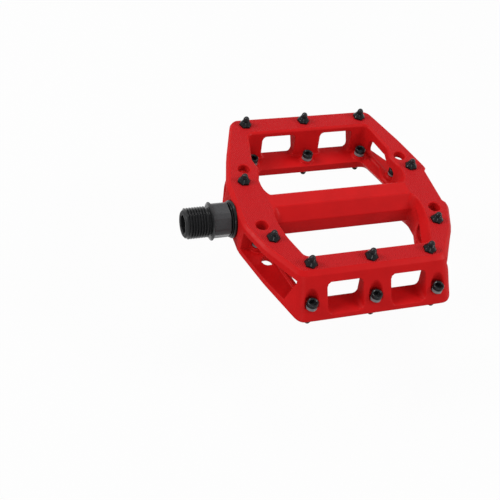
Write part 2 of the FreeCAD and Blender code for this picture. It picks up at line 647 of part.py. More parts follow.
def build_bushing():
    start = "seal_depth - side_face"
    return turned_part("bushing", [
        (start, "journal_radius + running_gap"), (start, "bushing_radius - seat_gap"),
        (start + " + bushing_length", "bushing_radius - seat_gap"),
        (start + " + bushing_length", "journal_radius + running_gap")])


def build_cap():
    """End cap: a cup that screws in against the bearing, with a dished face and a hex socket."""
    body = turned_part("end_cap", [
        ("boss_face", "0"), ("boss_face", "cap_head_bore - seat_gap - cap_edge"),
        ("boss_face - cap_edge", "cap_head_bore - seat_gap"), ("boss_face - cap_head", "cap_head_bore - seat_gap"),
        ("boss_face - cap_head", "cap_bore - seat_gap"), ("bearing_place + bearing_width", "cap_bore - seat_gap"),
        ("bearing_place + bearing_width", "cap_cup"), ("boss_face - cap_floor", "cap_cup"),
        ("boss_face - cap_floor", "0")])
    turn(body, "Groove", "dish", profile(body, "dish", [
        ("boss_face + overlap", "0"), ("boss_face + overlap", "cap_dish"), ("boss_face", "cap_dish"),
        ("boss_face - cap_dish_depth", "cap_key / sqrt(3) + cap_key_rim"),
        ("boss_face - cap_dish_depth", "0")]))
    key = new_sketch(body, "cap_key_outline", "YZ_Plane", "boss_face - cap_dish_depth")
    add_loop(key, hexagon("cap_key"))
    extrude(body, "Pocket", "cap_socket", key, "cap_key_depth")
    return body


# ---------------------------------------------------------------------------------------------
# Hardware from primitives. Each helper lays its axis along +X in the platform's frame.
# ---------------------------------------------------------------------------------------------
ALONG_X = Rotation(Vector(0, 1, 0), 90)


def primitive(kind, name, x="0", y="0", z="0", turned=None, **sizes):
    """A Part primitive at a bound place, with bound sizes."""
    item = doc.addObject("Part::" + kind, name)
    item.Placement = Placement(Vector(), turned or Rotation())
    bind(item, Placement__Base__x=x, Placement__Base__y=y, Placement__Base__z=z, **sizes)
    return item


def ring(name, start, width, inner, outer):
    """A plain ring about the spindle, from one platform station over a width."""
    place = "crank_offset + " + start
    solid = primitive("Cylinder", name + "_outside", place, turned=ALONG_X, Radius=outer, Height=width)
    hole = primitive("Cylinder", name + "_inside", place + " - 1", turned=ALONG_X, Radius=inner,
                     Height=width + " + 2")
    return cut(name, solid, hole)


def cut(name, base, tool):
    item = doc.addObject("Part::Cut", name)
    item.Base, item.Tool = base, tool
    item.Label = name
    return item


def fuse(name, *pieces):
    item = doc.addObject("Part::MultiFuse", name)
    item.Shapes = list(pieces)
    item.Label = name
    return item


def common(name, first, second):
    item = doc.addObject("Part::MultiCommon", name)
    item.Shapes = [first, second]
    item.Label = name
    return item


def hex_bar(name, x, flats, length, turned, z="0"):
    """A hexagonal prism whose flats lie across the given size."""
    item = primitive("Prism", name, x=x, z=z, turned=turned, Circumradius=flats + " / sqrt(3)", Height=length)
    item.Polygon = 6
    return item


def group(name, pieces):
    item = doc.addObject("Part::Compound", name)
    item.Links = pieces
    item.Label = name
    return item


def build_bearing():
    """Deep-groove bearing, 8 x 14 x 4 mm: two races, a caged ring of balls and two shields."""
    centre = "crank_offset + bearing_place + bearing_width / 2"
    pitch = "(bearing_bore + bearing_radius) / 2"
    groove = "ball_radius + ball_gap"

    def race(name, inner, outer):
        blank = ring(name + "_blank", "bearing_place", "bearing_width", inner, outer)
        track = primitive("Torus", name + "_track", centre, turned=ALONG_X, Radius1=pitch, Radius2=groove)
        return cut(name, blank, track)

    inner_race = race("bearing_inner_race", "bearing_bore", "bearing_bore + race_wall")
    outer_race = race("bearing_outer_race", "bearing_radius - seat_gap - race_wall",
                      "bearing_radius - seat_gap")

    balls, pockets = [], []
    for i in range(int(value("ball_count"))):
        step = 360 / value("ball_count") * i
        out = " * sin(360 / ball_count * %d)" % i, " * cos(360 / ball_count * %d)" % i
        balls.append(primitive("Sphere", "ball_%d" % i, Radius="ball_radius",
                               x=centre, y=pitch + out[0], z=pitch + out[1]))
        foot = "(%s - cage_wall)" % pitch
        pockets.append(primitive("Cylinder", "cage_pocket_%d" % i, Radius=groove, Height="2 * cage_wall",
                                 turned=Rotation(Vector(1, 0, 0), -step),
                                 x=centre, y=foot + out[0], z=foot + out[1]))
    cage_blank = ring("cage_blank", "bearing_place + (bearing_width - cage_width) / 2", "cage_width",
                      pitch + " - cage_wall / 2", pitch + " + cage_wall / 2")
    cage = cut("bearing_cage", cage_blank, fuse("cage_pockets", *pockets))

    inside = "bearing_bore + race_wall + shield_gap"
    outside = "bearing_radius - seat_gap - race_wall"
    shields = [ring("inboard_shield", "bearing_place + shield_inset", "shield_wall", inside, outside),
               ring("outboard_shield", "bearing_place + bearing_width - shield_inset - shield_wall", "shield_wall",
                    inside, outside)]
    return [inner_race, outer_race, group("bearing_balls", balls), cage, group("bearing_shields", shields)]


def build_tail():
    """Washer and lock nut on the spindle's outboard end, and the ring under the cap's head."""
    outboard = "bearing_place + bearing_width"
    washer = ring("bearing_washer", outboard, "washer_wall", "tail_radius + seat_gap", "washer_radius")
    nut_start = "crank_offset + %s + washer_wall" % outboard
    blank = hex_bar("lock_nut_blank", nut_start, "lock_flats", "lock_height", ALONG_X)
    hole = primitive("Cylinder", "lock_nut_hole", nut_start + " - 1", turned=ALONG_X,
                     Radius="tail_radius + seat_gap", Height="lock_height + 2")
    nut = cut("lock_nut", blank, hole)
    wire = primitive("Torus", "end_cap_o_ring", "crank_offset + boss_face - (cap_head_depth + cap_head) / 2",
                     turned=ALONG_X, Radius1="(cap_bore + cap_head_bore) / 2 - seat_gap / 2",
                     Radius2="ring_wire")
    wire.Label = "end_cap_o_ring"
    return [washer, nut, wire]


# ---------------------------------------------------------------------------------------------
# Traction studs: cap screws pushed out through the flange from inside, each held by a nut
# whose hexagon rises into a cone round the shank.
# ---------------------------------------------------------------------------------------------
UPRIGHT = Rotation()


def build_stud():
    """A stud with its head's seat at z = 0 and its tip up."""
    shank = primitive("Cylinder", "stud_shank", Radius="stud_radius",
                      Height="half_height - stud_seat + stud_reach")
    head = primitive("Cylinder", "stud_head", z="-head_height", Radius="head_radius", Height="head_height")
    key = hex_bar("stud_socket", "0", "stud_key", "head_height / 2 + 1", UPRIGHT, z="-head_height - 1")
    return cut("stud", fuse("stud_blank", shank, head), key)


def build_stud_nut():
    """A stud's nut with its foot at z = 0."""
    corner = "nut_flats / sqrt(3)"
    blank = hex_bar("stud_nut_blank", "0", "nut_flats", "nut_height", UPRIGHT)
    cone = primitive("Cone", "stud_nut_cone", Radius1=corner + " + nut_shoulder", Radius2="nut_crown",
                     Height="nut_height")
    hole = primitive("Cylinder", "stud_nut_hole", z="-1", Radius="stud_radius + seat_gap",
                     Height="nut_height + 2")
    return cut("stud_nut", common("stud_nut_crown", blank, cone), hole)


def copies(item, name, places, height, face):
    """Copies of an upright piece over platform places; face is 1 for the top and -1 for the bottom."""
    links = []
    for i, (across, forward) in enumerate(places):
        link = doc.addObject("App::Link", "%s_%d" % (name, i + 1))
        link.LinkedObject = item
        link.LinkTransform = False
        turned = Rotation() if face > 0 else Rotation(Vector(1, 0, 0), 180)
        link.Placement = Placement(Vector(), turned)
        bind(link, Placement__Base__x="crank_offset + (%s)" % across,
             Placement__Base__y="%d * (%s)" % (face, forward), Placement__Base__z="%d * %s" % (face, height))
        links.append(link)
    return group(name, links)


def build_studs():
    stud, nut = build_stud(), build_stud_nut()
    doc.recompute()
    nodes = []
    for face_name, face in (("top", 1), ("bottom", -1)):
        for row, places, seat in (("outer", OUTER_STUDS, "stud_seat"), ("inner", INNER_STUDS, "stud_seat"),
                                  ("side", SIDE_STUDS, "side_seat")):
            label = "%s_%s" % (face_name, row)
            nodes.append(copies(stud, label + "_studs", places, seat, face))
            nodes.append(copies(nut, label + "_nuts", places, "half_height", face))
    return nodes


nodes = [build_platform(), build_spindle(), build_seal(), build_bushing(), build_cap()]
nodes += build_bearing() + build_tail() + build_studs()
doc.recompute()

for item in doc.Objects:
    if "Invalid" in item.State or "Error" in item.State:
        raise RuntimeError("%s did not build: %s" % (item.Name, item.State))
for node in nodes:
    if node.Shape.isNull() or not node.Shape.isValid():
        raise RuntimeError("%s has no valid shape" % node.Label)

os.makedirs("parts", exist_ok=True)
for node in nodes:
    node.Shape.exportStep("parts/%s.step" % node.Label)
    box = node.Shape.BoundBox
    print("%-22s %3d solids %9.1f mm3  x %7.2f..%7.2f  y %7.2f..%7.2f  z %7.2f..%7.2f" % (
        node.Label, len(node.Shape.Solids), node.Shape.Volume,
        box.XMin, box.XMax, box.YMin, box.YMax, box.ZMin, box.ZMax))
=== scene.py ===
# %% [markdown]
# # A flat pedal, dressed for its portrait
# The pedal comes from CAD as a frame of exact solids. This lesson gives each of them the surface
# and the small detail that machining drawings leave out: soft moulded edges, screw threads,
# turned rings, a sealing lip and finishes with real grain.
#
# The frame is loaded first, because every piece takes its place from it. Nothing in it is moved.
# A piece that needs a finer shape is modelled again here and stands in for its CAD node.

# %% Load the frame
import json
from math import cos, hypot, pi, radians, sin

import bmesh
import bpy
import numpy as np
from mathutils import Matrix, Vector

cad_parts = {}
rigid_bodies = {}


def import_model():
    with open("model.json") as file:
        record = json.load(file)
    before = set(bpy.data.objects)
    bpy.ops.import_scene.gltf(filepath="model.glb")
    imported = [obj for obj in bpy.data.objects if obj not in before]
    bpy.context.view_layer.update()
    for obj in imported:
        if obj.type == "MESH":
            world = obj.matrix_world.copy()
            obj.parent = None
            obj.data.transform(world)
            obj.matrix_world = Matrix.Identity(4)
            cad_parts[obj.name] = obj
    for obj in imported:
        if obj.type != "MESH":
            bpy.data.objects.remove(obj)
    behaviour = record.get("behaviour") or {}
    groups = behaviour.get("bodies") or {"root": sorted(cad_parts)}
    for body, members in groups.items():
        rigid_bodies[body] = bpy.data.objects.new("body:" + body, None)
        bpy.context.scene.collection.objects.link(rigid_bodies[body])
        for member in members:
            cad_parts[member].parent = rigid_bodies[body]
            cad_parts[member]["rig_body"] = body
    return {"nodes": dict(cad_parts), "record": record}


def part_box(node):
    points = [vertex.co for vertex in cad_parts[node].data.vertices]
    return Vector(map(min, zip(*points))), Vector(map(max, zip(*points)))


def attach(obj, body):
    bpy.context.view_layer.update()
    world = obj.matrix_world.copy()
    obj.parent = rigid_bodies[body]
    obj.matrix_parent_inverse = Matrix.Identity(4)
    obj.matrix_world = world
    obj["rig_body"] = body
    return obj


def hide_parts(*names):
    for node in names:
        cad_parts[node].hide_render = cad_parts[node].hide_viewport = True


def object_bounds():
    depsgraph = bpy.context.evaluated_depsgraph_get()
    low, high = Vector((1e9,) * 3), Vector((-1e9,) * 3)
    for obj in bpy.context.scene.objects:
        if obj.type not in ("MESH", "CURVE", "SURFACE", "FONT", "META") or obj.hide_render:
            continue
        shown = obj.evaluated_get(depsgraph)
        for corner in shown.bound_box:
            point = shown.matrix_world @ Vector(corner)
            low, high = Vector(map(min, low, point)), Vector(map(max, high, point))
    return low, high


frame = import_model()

cad_box = [list(corner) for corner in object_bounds()]
nodes = frame["nodes"]

# %% [markdown]
# ## Sizes that several pieces share
# Blender works in metres and a pedal is drawn in millimetres, so one factor turns one into the
# other. The height of the faces is read from the moulded body's box, and the platform's middle from
# the row of nuts that is centred on it.

# %% Units and the platform's own measures
MM = 0.001
face_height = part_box("pedal_body")[1].z
platform_middle = sum(side.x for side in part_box("top_outer_nuts")) / 2
print("platform middle", round(platform_middle / MM, 2), "mm")
print("faces at", round(face_height / MM, 2), "mm")

# %% [markdown]
# ## The camera
# The pedal is seen from above its near inboard corner, with a long lens so that the two bars stay
# almost parallel. An azimuth, an elevation and a roll are enough to aim a camera: the direction
# back to the camera comes first, the right and up directions follow by cross products, and the
# three become the columns of its matrix.

# %% Aim the camera
AZIMUTH, ELEVATION, ROLL = radians(-26.99), radians(45.98), radians(13.51)
DISTANCE, SLIDE_RIGHT, SLIDE_UP = 452.14 * MM, -40.6 * MM, -19.83 * MM
FOCAL_SHARE = 1.9076      # focal length as a share of the image's width

back = Vector((sin(AZIMUTH) * cos(ELEVATION), -cos(AZIMUTH) * cos(ELEVATION), sin(ELEVATION)))
level_right = (-back).cross(Vector((0, 0, 1))).normalized()
level_up = level_right.cross(-back)
right = cos(ROLL) * level_right + sin(ROLL) * level_up
up = cos(ROLL) * level_up - sin(ROLL) * level_right
eye = Vector((platform_middle, 0, 0)) + back * DISTANCE + right * SLIDE_RIGHT + up * SLIDE_UP

camera = bpy.data.objects.new("camera", bpy.data.cameras.new("camera"))
camera.data.sensor_width = 36
camera.data.lens = FOCAL_SHARE * camera.data.sensor_width
camera.matrix_world = Matrix((
    (right.x, up.x, back.x, eye.x), (right.y, up.y, back.y, eye.y),
    (right.z, up.z, back.z, eye.z), (0, 0, 0, 1)))
bpy.context.scene.collection.objects.link(camera)
bpy.context.scene.camera = camera
bpy.context.scene.view_settings.view_transform = "Standard"
print("lens", round(camera.data.lens, 2), "mm, eye", [round(v / MM) for v in eye], "mm")

# %% [markdown]
# ## The studio
# The crank arm that holds a pedal isn't here, so the pedal hangs over a wide pale floor. The floor
# lies just below the circle that the platform's corners draw as it spins, and so the pedal clears
# it however it is turned. Two soft lamps stand to its left and right, a third looks over its back,
# a weak one fills the front, and the sky gives an even base light. The sky and the floor look
# white to the camera and in reflections, which keeps the surroundings pale without putting more
# light on the plastic.

# %% Floor, sky and lamps
def scene_object(name, data):
    item = bpy.data.objects.new(name, data)
    bpy.context.scene.collection.objects.link(item)
    return item


def wires(tree, *pairs):
    """Joins sockets, each pair given as (from, to)."""
    for start, end in pairs:
        tree.links.new(start, end)


FLOOR_REACH, FLOOR_GAP = 3.0, 1 * MM

furthest = cad_box[1]
ground = -hypot(furthest[1], furthest[2]) - FLOOR_GAP
floor_mesh = bpy.data.meshes.new("floor")
floor_mesh.from_pydata([(x * FLOOR_REACH, y * FLOOR_REACH, ground)
                        for x, y in ((-1, -1), (1, -1), (1, 1), (-1, 1))], [], [(0, 1, 2, 3)])
floor = scene_object("floor", floor_mesh)


def seen_directly(tree):
    """1 for the rays that look at a thing or at its reflection, and 0 for those that carry light."""
    path = tree.nodes.new("ShaderNodeLightPath")
    first, second = (tree.nodes.new("ShaderNodeMath") for _ in range(2))
    first.operation = second.operation = "MAXIMUM"
    wires(tree, (path.outputs["Is Camera Ray"], first.inputs[0]),
          (path.outputs["Is Glossy Ray"], first.inputs[1]), (first.outputs[0], second.inputs[0]),
          (path.outputs["Is Transmission Ray"], second.inputs[1]))
    return second.outputs[0]


PAPER_GREY = 0.62
FLOOR_GLOW = 0.95         # how far the floor is lifted to white; the rest keeps the shadow

paper = bpy.data.materials.new("studio_paper")
paper.use_nodes = True
tree = paper.node_tree
tree.nodes.clear()
plain, glow, mix, out, lift = (tree.nodes.new(kind) for kind in (
    "ShaderNodeBsdfDiffuse", "ShaderNodeEmission", "ShaderNodeMixShader", "ShaderNodeOutputMaterial",
    "ShaderNodeMath"))
plain.inputs["Color"].default_value = (PAPER_GREY, PAPER_GREY, PAPER_GREY, 1)
glow.inputs["Color"].default_value = (1, 1, 1, 1)
lift.operation = "MULTIPLY"
lift.inputs[1].default_value = FLOOR_GLOW
wires(tree, (seen_directly(tree), lift.inputs[0]), (lift.outputs[0], mix.inputs[0]),
      (plain.outputs[0], mix.inputs[1]), (glow.outputs[0], mix.inputs[2]),
      (mix.outputs[0], out.inputs[0]))
floor_mesh.materials.append(paper)

SKY_LIGHT = 0.42

sky = bpy.data.worlds.new("studio_sky")
sky.use_nodes = True
tree = sky.node_tree
tree.nodes.clear()
dim, white, mix, out = (tree.nodes.new(kind) for kind in (
    "ShaderNodeBackground", "ShaderNodeBackground", "ShaderNodeMixShader", "ShaderNodeOutputWorld"))
dim.inputs["Strength"].default_value = SKY_LIGHT
dim.inputs["Color"].default_value = white.inputs["Color"].default_value = (1, 1, 1, 1)
wires(tree, (seen_directly(tree), mix.inputs[0]), (dim.outputs[0], mix.inputs[1]),
      (white.outputs[0], mix.inputs[2]), (mix.outputs[0], out.inputs[0]))
bpy.context.scene.world = sky

target = Vector((platform_middle, 0, 0))


def soft_lamp(name, azimuth, elevation, watts, distance=1.1, size=0.36):
    """A square lamp that faces the pedal from a compass direction and a height."""
    lamp = bpy.data.lights.new(name, "AREA")
    lamp.shape, lamp.size, lamp.energy = "SQUARE", size, watts
    item = scene_object(name, lamp)
    a, e = radians(azimuth), radians(elevation)
    away = Vector((sin(a) * cos(e), -cos(a) * cos(e), sin(e)))
    item.location = target + away * distance
    item.rotation_euler = away.to_track_quat("Z", "Y").to_euler()


soft_lamp("left_lamp", azimuth=-105, elevation=38, watts=6.0)
soft_lamp("right_lamp", azimuth=70, elevation=36, watts=4.5)
soft_lamp("back_lamp", azimuth=175, elevation=62, watts=2.2)
soft_lamp("front_lamp", azimuth=-20, elevation=24, watts=2.4, distance=1.3, size=0.30)
print("studio: floor at", round(ground / MM, 2), "mm and", len(bpy.data.lights), "lamps")

# %% [markdown]
# ## A small kit for materials
# Every finish here is built on one shader from the same few parts: a pattern that reads the
# piece's own coordinates, a ramp that turns it into a range of colour or roughness, and a bump
# that turns it into relief. Object coordinates are in metres, so a pattern's scale is written as
# the size of its grain and stays true when a piece turns.

# %% Parts of a finish
class Finish:
    """A material in the making. Most methods add a node and return the socket that it gives."""

    def __init__(self, name, color, roughness, metallic=0.0, specular=0.5):
        self.material = bpy.data.materials.new(name)
        self.material.use_nodes = True
        self.tree = self.material.node_tree
        self.shader = self.tree.nodes["Principled BSDF"]
        for socket, value in (("Base Color", (*color, 1)), ("Roughness", roughness),
                              ("Metallic", metallic), ("Specular IOR Level", specular)):
            self.shader.inputs[socket].default_value = value
        self.place = self.tree.nodes.new("ShaderNodeTexCoord")
        self.relief = None
        self.material.diffuse_color = (*color, 1)

    def node(self, kind, inputs=(), **settings):
        item = self.tree.nodes.new("ShaderNode" + kind)
        for key, value in settings.items():
            setattr(item, key, value)
        for key, value in dict(inputs).items():
            if isinstance(value, bpy.types.NodeSocket):
                self.tree.links.new(value, item.inputs[key])
            else:
                item.inputs[key].default_value = value
        return item

    def stretched(self, stretch=(1, 1, 1), turn=(0, 0, 0)):
        """The piece's own coordinates, turned and then stretched."""
        return self.node("Mapping", {"Vector": self.place.outputs["Object"], "Rotation": turn,
                                     "Scale": stretch}).outputs[0]

    def grain(self, size, detail=3.0, stretch=(1, 1, 1)):
        """Cloudy noise whose lumps are about size across."""
        return self.node("TexNoise", {"Vector": self.stretched(stretch), "Scale": 1 / size,
                                      "Detail": detail, "Roughness": 0.6}).outputs[0]

    def span(self, value, low, high, start=0.3, end=0.7):
        """Turns a pattern from start to end into a number from low to high."""
        return self.node("MapRange", {"Value": value, "From Min": start, "From Max": end,
                                      "To Min": low, "To Max": high}).outputs[0]

    def axes(self, kind):
        """The x, y and z of the surface's own place (Object) or of the way it faces (Normal)."""
        return self.node("SeparateXYZ", {0: self.place.outputs[kind]}).outputs

    def absolute(self, value):
        return self.node("Math", {0: value}, operation="ABSOLUTE").outputs[0]

    def combined(self, how, *values):
        result = values[0]
        for value in values[1:]:
            result = self.node("Math", {0: result, 1: value}, operation=how).outputs[0]
        return result

    def blend(self, share, first, second):
        """A colour between two, by a share from 0 to 1. Either may be a colour or a socket."""
        mixer = self.node("Mix", {"Factor": share}, data_type="RGBA")
        for socket, value in ((mixer.inputs[6], first), (mixer.inputs[7], second)):
            if isinstance(value, bpy.types.NodeSocket):
                self.tree.links.new(value, socket)
            else:
                socket.default_value = (*value, 1)
        return mixer.outputs[2]

    def emboss(self, height, depth):
        """Adds relief of a depth in metres. Each call builds on the one before."""
        inputs = {"Height": height, "Distance": depth, "Strength": 1.0}
        if self.relief:
            inputs["Normal"] = self.relief
        self.relief = self.node("Bump", inputs).outputs[0]
        self.tree.links.new(self.relief, self.shader.inputs["Normal"])

    def drive(self, socket, value):
        self.tree.links.new(value, self.shader.inputs[socket])


print("finish kit ready")

# %% [markdown]
# ## The moulded red plastic
# The body is nylon filled with short glass fibre. Such a moulding is satin, its colour drifts a
# little where the fibre lies thick, and its two tread faces carry a fine diagonal rib cut into
# the mould. The ribs belong to the flat faces alone, so a mask is made from three things that
# the surface knows: how high it lies, whether it faces up or down, and whether it is off the
# barrel. The same mask paints a duller red there, a painted shade and sheen for the way the
# light falls on the ribbed tops.

# %% Moulded plastic
RIB_PITCH, RIB_DEPTH = 0.8 * MM, 0.12 * MM
BARREL_LENGTH, BARREL_WIDTH, MASK_EDGE = 35 * MM, 9 * MM, 0.5 * MM      # halves, bare of ribs
RED, TREAD_SHADE_RED, DEEP_RED = (0.530, 0.0055, 0.0065), (0.455, 0.0100, 0.0130), (0.430, 0.0040, 0.0048)
FIBRE_RED = (0.68, 0.02, 0.02)


def moulded_red():
    """Satin plastic, ribbed on the treads, with a duller red painted there as shade and sheen, and
    rougher on steep walls.
    """
    finish = Finish("moulded_platform", RED, 0.42, specular=0.10)
    facing, where = finish.axes("Normal"), finish.axes("Object")
    level, height = finish.absolute(facing[2]), finish.absolute(where[2])
    steep = finish.span(level, 1, 0, 0.35, 0.65)
    across = finish.combined("SUBTRACT", where[0], platform_middle)
    off_barrel = finish.combined(
        "MAXIMUM",
        finish.span(finish.absolute(where[1]), 0, 1, BARREL_WIDTH, BARREL_WIDTH + MASK_EDGE),
        finish.span(finish.absolute(across), 0, 1, BARREL_LENGTH, BARREL_LENGTH + MASK_EDGE))
    tread = finish.combined(
        "MULTIPLY", finish.span(level, 0, 1, 0.985, 0.998), off_barrel,
        finish.span(height, 0, 1, face_height - 0.3 * MM, face_height - 0.12 * MM))

    # Wave repeats every 2 pi / 20 of its scaled length, so a pitch becomes a scale by that much.
    rib = finish.node("TexWave", {"Vector": finish.stretched(turn=(0, 0, radians(45))),
                                  "Scale": 2 * pi / 20 / RIB_PITCH, "Distortion": 0.0},
                      wave_type="BANDS", bands_direction="X", wave_profile="SIN").outputs["Fac"]
    drift = finish.grain(9 * MM, 2)
    fibre = finish.grain(0.35 * MM, 4)
    color = finish.blend(finish.span(drift, 0, 0.5), RED, DEEP_RED)
    # painted shade and sheen: the tread tops get a duller red for the way light falls on their ribs
    color = finish.blend(finish.combined("MULTIPLY", tread, 0.8), color, TREAD_SHADE_RED)
    color = finish.blend(finish.span(fibre, 0, 0.10, 0.5, 0.75), color, FIBRE_RED)
    finish.drive("Base Color", color)
    finish.drive("Roughness", finish.combined(
        "ADD", finish.span(finish.grain(1.5 * MM, 4), 0.36, 0.48),
        finish.combined("MULTIPLY", tread, 0.10), finish.combined("MULTIPLY", steep, 0.26)))
    finish.emboss(fibre, 0.02 * MM)
    finish.emboss(finish.combined("MULTIPLY", rib, tread), RIB_DEPTH)
    return finish.material


red_plastic = moulded_red()
print("moulded plastic:", len(red_plastic.node_tree.nodes), "nodes")

# %% [markdown]
# ## Black steel, rubber and bearing metals
# Black oxide on turned steel keeps the tool's rings, so its grain is stretched round the axis
# and its roughness wanders. Its ring crests are painted a little lighter, a painted highlight. On
# the spindle the hexagon is painted lighter, a painted reflection, and the thread darker, a painted
# shade. Studs and nuts are darker still and lie under a film of oil, and a brighter band painted
# round the stud heads is a painted reflection of the pale floor. The rubber seal is moulded
# glossy. The parts inside the barrel get finishes of their own, because the pedal may be shown
# opened.

# %% Finishes for metal and rubber
ROUND_X, ROUND_Z = (12, 0.5, 0.5), (0.5, 0.5, 12)      # grain drawn out round that axis
RING_DEPTH, SPECK_DEPTH = 0.012 * MM, 0.008 * MM
# where the painted reflection on the hexagon begins and where it is full
HEXAGON_SHEEN_STARTS, HEXAGON_SHEEN_FULL = 0.2 * MM, 0.9 * MM            # along the spindle, from its shoulder
END_FACE, PAST_END_FACE = -11.9 * MM, -11.3 * MM
# heights of the painted floor reflection's band on the stud heads
REFLECTION_BAND_LOW, REFLECTION_BAND_HIGH = (2.0 * MM, 2.15 * MM), (3.7 * MM, 3.8 * MM)      # edges, each with its fade


def oiled(finish):
    """A film of oil: it shows where the surface turns away and hardly where it faces the eye."""
    turning = finish.node("LayerWeight", {"Blend": 0.35}).outputs["Facing"]
    finish.drive("Coat Weight", finish.span(turning, 0, 1, 0.35, 0.9))
    finish.shader.inputs["Coat Roughness"].default_value = 0.10


def lathe_rings(finish, size, along):
    """The rings a lathe leaves, in relief. Gives their noise, and its share from hollow to crest."""
    rings = finish.grain(size, 3, along)
    finish.emboss(rings, RING_DEPTH)
    return rings, finish.span(rings, 0, 1, 0.35, 0.8)


def coated_steel(name, color, painted_shine, roughness, size, along=ROUND_X, metallic=1.0, specular=0.5,
                 oil=False):
    """Steel with turned rings: color in the hollows, and a lighter painted shine on the high lines, a
    painted highlight.
    """
    finish = Finish(name, color, roughness, metallic, specular)
    if oil:
        oiled(finish)
    rings, crest = lathe_rings(finish, size, along)
    cloud = finish.grain(6 * size, 3)
    # painted highlight: the ring crests are painted lighter
    finish.drive("Base Color", finish.blend(crest, color, painted_shine))
    finish.drive("Roughness", finish.combined(
        "ADD", finish.span(cloud, roughness - 0.07, roughness + 0.09), finish.span(rings, -0.03, 0.03)))
    return finish.material


def spindle_steel():
    """Black steel: the thread painted darkest as painted shade, the hexagon painted lighter as a painted
    reflection of the lamps, and dull on the end face.
    """
    finish = Finish("black_steel", (0.010, 0.010, 0.011), 0.22, specular=0.22)
    along = finish.axes("Object")[0]
    hexagon_painted_sheen = finish.span(along, 0, 1, HEXAGON_SHEEN_STARTS, HEXAGON_SHEEN_FULL)
    end = finish.span(along, 1, 0, END_FACE, PAST_END_FACE)
    crest = lathe_rings(finish, 0.25 * MM, ROUND_X)[1]
    # painted highlight: the ring crests are painted lighter
    thread = finish.blend(crest, (0.006, 0.006, 0.0065), (0.022, 0.022, 0.023))
    # painted reflection and painted shade: the hexagon is painted lighter, as if it mirrored the lamps,
    # and the thread darker
    hexagon = finish.blend(crest, (0.034, 0.034, 0.036), (0.054, 0.054, 0.057))
    finish.drive("Base Color", finish.blend(hexagon_painted_sheen, thread, hexagon))
    finish.drive("Roughness", finish.combined(
        "ADD", finish.span(finish.grain(1.5 * MM, 3), 0.13, 0.25),
        finish.combined("MULTIPLY", hexagon_painted_sheen, 0.08), finish.combined("MULTIPLY", end, 0.40)))
    return finish.material


def stud_steel():
    """Black studs with a brighter band painted round their heads, a painted reflection of the pale
    floor. Their height tells them from the tips.
    """
    finish = Finish("stud_steel", (0.005, 0.005, 0.006), 0.20, specular=0.20)
    height = finish.absolute(finish.axes("Object")[2])
    # painted reflection: a brighter band round the head's side stands for the pale floor mirrored in it
    painted_reflection_band = finish.combined("MULTIPLY", finish.span(height, 0, 1, *REFLECTION_BAND_LOW),
                           finish.span(height, 1, 0, *REFLECTION_BAND_HIGH))
    oiled(finish)
    crest, cloud = lathe_rings(finish, 0.25 * MM, ROUND_Z)[1], finish.grain(1.2 * MM, 3)
    # painted highlight: the ring crests on the dark steel are painted lighter
    dark = finish.blend(crest, (0.006, 0.006, 0.007), (0.018, 0.019, 0.021))
    floor_reflection_grey = finish.blend(cloud, (0.13, 0.13, 0.135), (0.24, 0.24, 0.25))
    finish.drive("Base Color", finish.blend(painted_reflection_band, dark, floor_reflection_grey))
    finish.drive("Roughness", finish.span(cloud, 0.14, 0.28))
    return finish.material


def soft_moulding(name, color, roughness, speck, specular=0.5):
    """Rubber or plain plastic: fine specks and a slow change of gloss."""
    finish = Finish(name, color, roughness, specular=specular)
    fine, slow = finish.grain(speck, 4), finish.grain(12 * speck, 2)
    paler = tuple(1.5 * c + 0.002 for c in color)
    finish.drive("Base Color", finish.blend(finish.span(fine, 0, 1), color, paler))
    finish.drive("Roughness", finish.span(slow, roughness - 0.06, roughness + 0.08))
    finish.emboss(fine, SPECK_DEPTH)
    return finish.material


finishes = {"moulded_platform": red_plastic, "black_steel": spindle_steel(), "stud_steel": stud_steel()}
finishes["nut_steel"] = coated_steel("nut_steel", (0.003, 0.003, 0.004), (0.010, 0.0105, 0.012), 0.18,
                                     0.3 * MM, ROUND_Z, metallic=0.0, specular=0.16, oil=True)
for name, color, painted_shine, roughness, size, along in (
        ("zinc_steel", (0.42, 0.42, 0.44), (0.62, 0.62, 0.64), 0.32, 0.3, ROUND_X),
        ("bearing_steel", (0.50, 0.50, 0.51), (0.68, 0.68, 0.69), 0.20, 0.12, ROUND_X),
        ("bearing_balls", (0.62, 0.62, 0.63), (0.78, 0.78, 0.79), 0.09, 0.2, (1, 1, 1)),
        ("cage_steel", (0.38, 0.34, 0.27), (0.58, 0.54, 0.44), 0.38, 0.2, ROUND_X)):
    finishes[name] = coated_steel(name, color, painted_shine, roughness, size * MM, along)
for name, color, roughness, speck, specular in (
        ("seal_rubber", (0.004, 0.004, 0.004), 0.24, 0.3, 0.2),
        ("shield_rubber", (0.016, 0.016, 0.020), 0.45, 0.3, 0.5),
        ("cap_plastic", (0.008, 0.008, 0.009), 0.28, 0.25, 0.4),
        ("bushing_polymer", (0.66, 0.61, 0.48), 0.50, 0.4, 0.5)):
    finishes[name] = soft_moulding(name, color, roughness, speck * MM, specular)
print("finishes:", ", ".join(sorted(finishes)))

# %% [markdown]
# ## Helpers that shape and hand over pieces
# A turned part is a stack of rings. Each ring has a place along the axis and a radius, and it
# may be held to a hexagon, which trims its circle by six flats. Joining one ring to the next
# gives the part its skin, and a ring of no radius closes it in one point. Edges that turn
# sharply are marked, so that the rest can be shaded smooth.

# %% Rings, hexagons and hand-over
def crease(mesh, angle=32):
    """Smooth faces, with a sharp edge wherever two of them meet at more than the angle."""
    work = bmesh.new()
    work.from_mesh(mesh)
    bmesh.ops.remove_doubles(work, verts=work.verts, dist=1e-7)
    bmesh.ops.recalc_face_normals(work, faces=work.faces)
    for face in work.faces:
        face.smooth = True
    for edge in work.edges:
        edge.smooth = len(edge.link_faces) == 2 and edge.calc_face_angle(0) < radians(angle)
    work.to_mesh(mesh)
    work.free()


